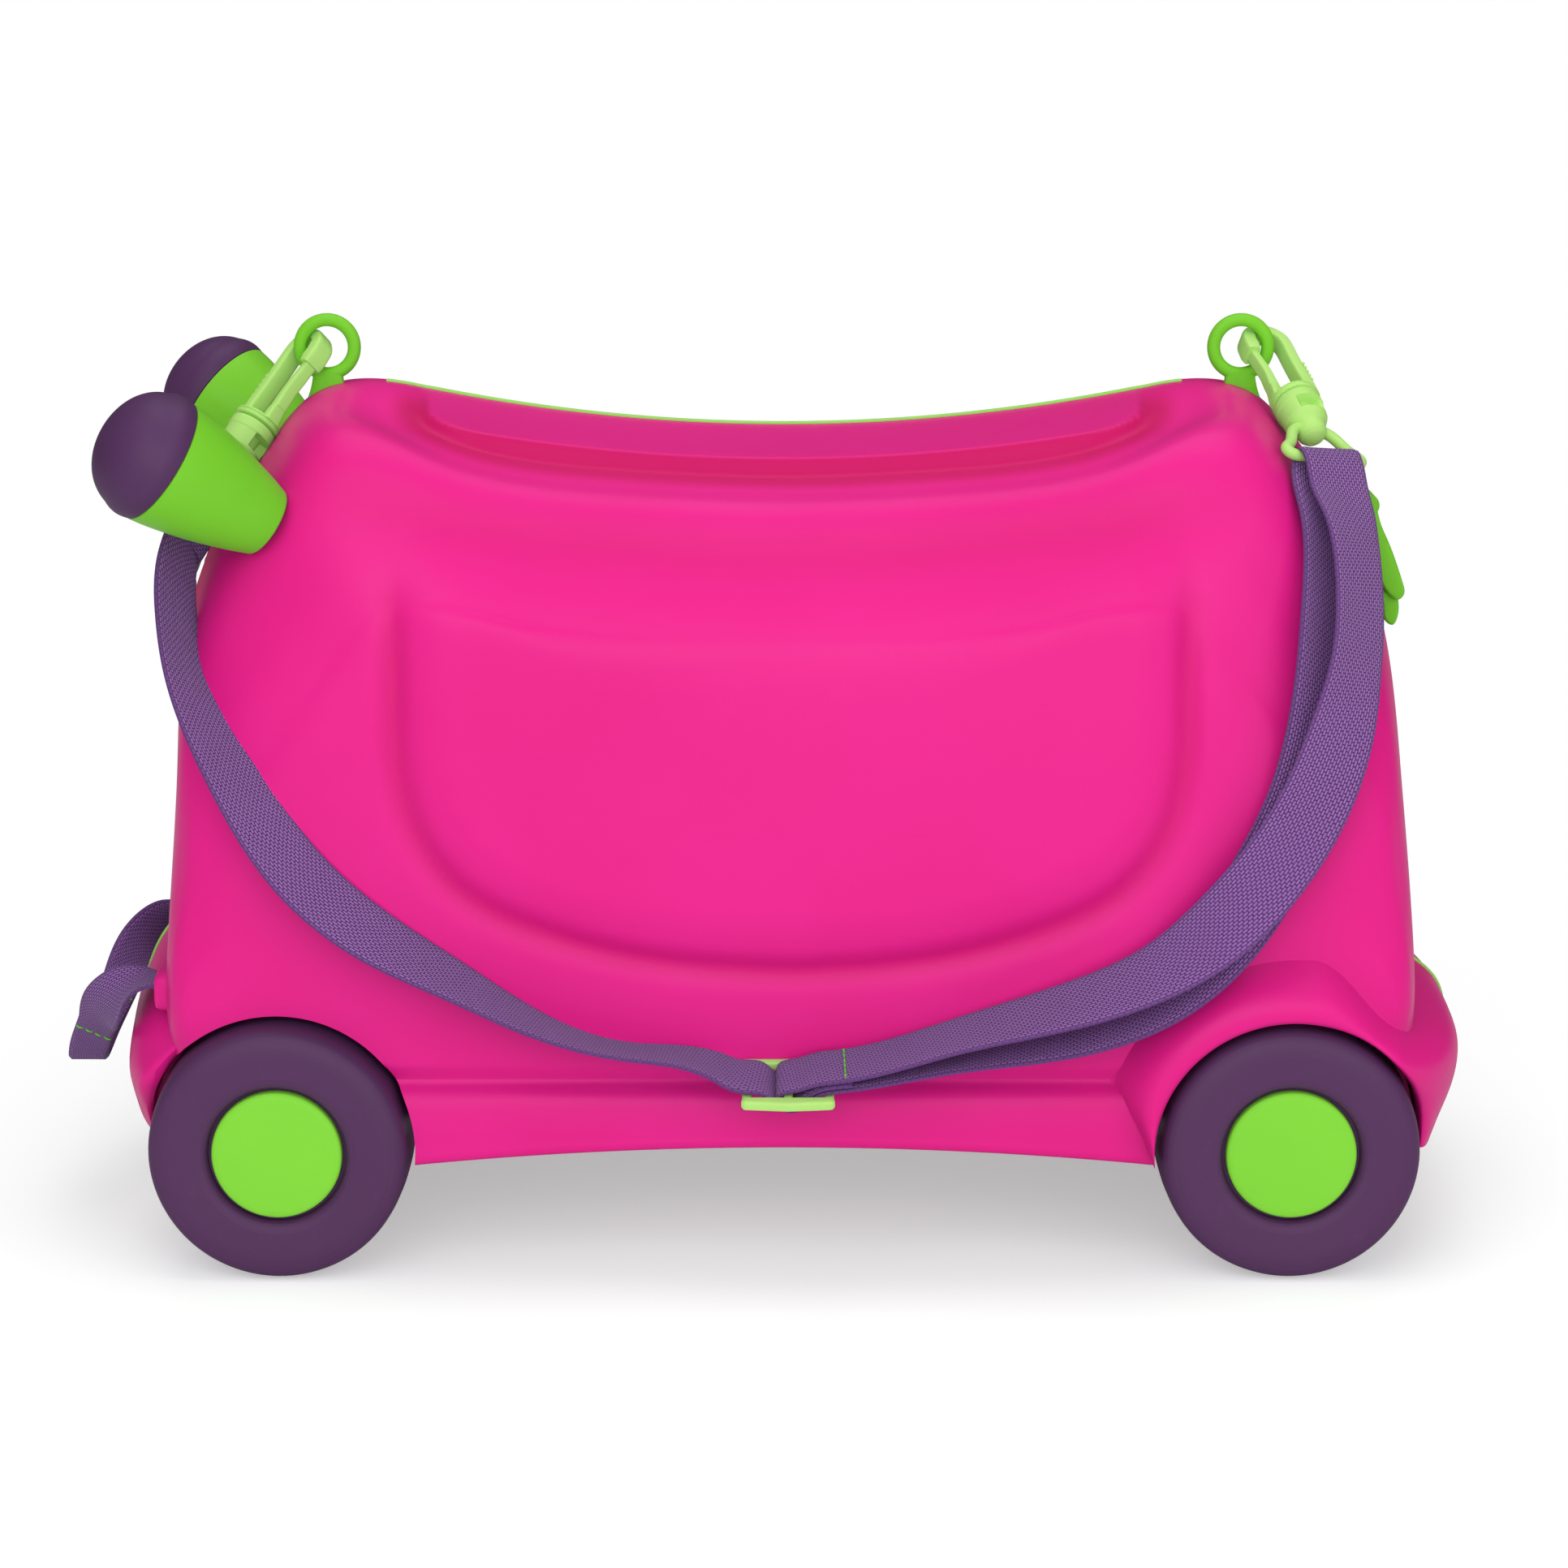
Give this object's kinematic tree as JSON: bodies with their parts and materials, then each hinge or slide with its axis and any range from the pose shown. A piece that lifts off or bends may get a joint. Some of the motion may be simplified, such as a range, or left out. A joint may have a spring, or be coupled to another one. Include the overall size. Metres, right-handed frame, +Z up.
{
  "type": "ride-on suitcase",
  "caption": "Child's hard ride-on suitcase: clamshell case with saddle seat, wheels, horn grips, end latches, hooked shoulder strap and tow loop.",
  "frame": {"origin": "on the floor under the seam, midway between the front and rear axles", "axes": "+X to the rear, +Y to the right half, +Z up"},
  "size_m": [0.5133, 0.2396, 0.3291],
  "materials": {
    "shell_pink": "satin",
    "green_plastic": "satin",
    "clip_green": "satin",
    "seal_green": "soft",
    "wheel_purple": "satin",
    "tip_purple": "soft",
    "webbing": "woven",
    "steel": "plain"
  },
  "bodies": {
    "case": {"left_shell": "shell_pink", "hinge_pin": "steel", "seam_seal": "seal_green", "front_ring": "green_plastic", "rear_ring": "green_plastic", "front_latch_base": "green_plastic", "front_latch_pin": "steel", "rear_latch_base": "green_plastic", "rear_latch_pin": "steel", "left_grip": "green_plastic", "left_grip_tip": "tip_purple", "front_left_axle": "steel", "rear_left_axle": "steel", "front_eye": "clip_green", "rear_eye": "clip_green", "strap": "webbing", "tri_glide": "clip_green", "tow_loop": "webbing"},
    "lid": {"right_shell": "shell_pink", "front_keeper": "green_plastic", "rear_keeper": "green_plastic", "right_grip": "green_plastic", "right_grip_tip": "tip_purple", "front_right_axle": "steel", "rear_right_axle": "steel"},
    "front_left_wheel": {"front_left_tyre": "wheel_purple", "front_left_hub_cap": "green_plastic"},
    "front_right_wheel": {"front_right_tyre": "wheel_purple", "front_right_hub_cap": "green_plastic"},
    "front_latch": {"front_latch_flap": "green_plastic"},
    "front_snap": {"front_hook": "clip_green", "front_gate_pin": "steel"},
    "front_gate_bar": {"front_gate": "clip_green"},
    "rear_left_wheel": {"rear_left_tyre": "wheel_purple", "rear_left_hub_cap": "green_plastic"},
    "rear_right_wheel": {"rear_right_tyre": "wheel_purple", "rear_right_hub_cap": "green_plastic"},
    "rear_latch": {"rear_latch_flap": "green_plastic"},
    "rear_snap": {"rear_hook": "clip_green", "rear_gate_pin": "steel"},
    "rear_gate_bar": {"rear_gate": "clip_green"}
  },
  "joints": [
    {"name": "lid_hinge", "type": "hinge", "parent": "case", "child": "lid", "pos_m": [0, 0, 0.04], "axis": [-1, 0, 0], "range_deg": [0, 95], "deforming": ["tow_loop"]},
    {"name": "front_left_wheel_spin", "type": "hinge", "parent": "case", "child": "front_left_wheel", "pos_m": [-0.1773, -0.085, 0.046], "axis": [0, 1, 0], "continuous": true},
    {"name": "front_right_wheel_spin", "type": "hinge", "parent": "lid", "child": "front_right_wheel", "pos_m": [-0.1773, 0.085, 0.046], "axis": [0, 1, 0], "continuous": true},
    {"name": "front_latch_lift", "type": "hinge", "parent": "case", "child": "front_latch", "pos_m": [-0.209, 0, 0.262], "axis": [0, 1, 0], "range_deg": [0, 90]},
    {"name": "front_hook_swivel", "type": "hinge", "parent": "case", "child": "front_snap", "pos_m": [-0.18589, -0.0131, 0.29438], "axis": [0.5, 0.5, 0.7071], "range_deg": [-5, 5]},
    {"name": "front_gate_press", "type": "hinge", "parent": "front_snap", "child": "front_gate_bar", "pos_m": [-0.17947, -0.0152, 0.29811], "axis": [-0.5542, -0.4426, 0.705], "range_deg": [0, 25], "stiffness_Nm_per_rad": 0.02},
    {"name": "rear_left_wheel_spin", "type": "hinge", "parent": "case", "child": "rear_left_wheel", "pos_m": [0.1773, -0.085, 0.046], "axis": [0, 1, 0], "continuous": true},
    {"name": "rear_right_wheel_spin", "type": "hinge", "parent": "lid", "child": "rear_right_wheel", "pos_m": [0.1773, 0.085, 0.046], "axis": [0, 1, 0], "continuous": true},
    {"name": "rear_latch_lift", "type": "hinge", "parent": "case", "child": "rear_latch", "pos_m": [0.209, 0, 0.262], "axis": [0, -1, 0], "range_deg": [0, 90]},
    {"name": "rear_hook_swivel", "type": "hinge", "parent": "case", "child": "rear_snap", "pos_m": [0.17998, -0.02169, 0.30241], "axis": [-0.2432, 0.8278, 0.5055], "range_deg": [-5, 5]},
    {"name": "rear_gate_press", "type": "hinge", "parent": "rear_snap", "child": "rear_gate_bar", "pos_m": [0.17311, -0.01969, 0.30533], "axis": [-0.2333, 0.4559, -0.8589], "range_deg": [0, 25], "stiffness_Nm_per_rad": 0.02}
  ]
}
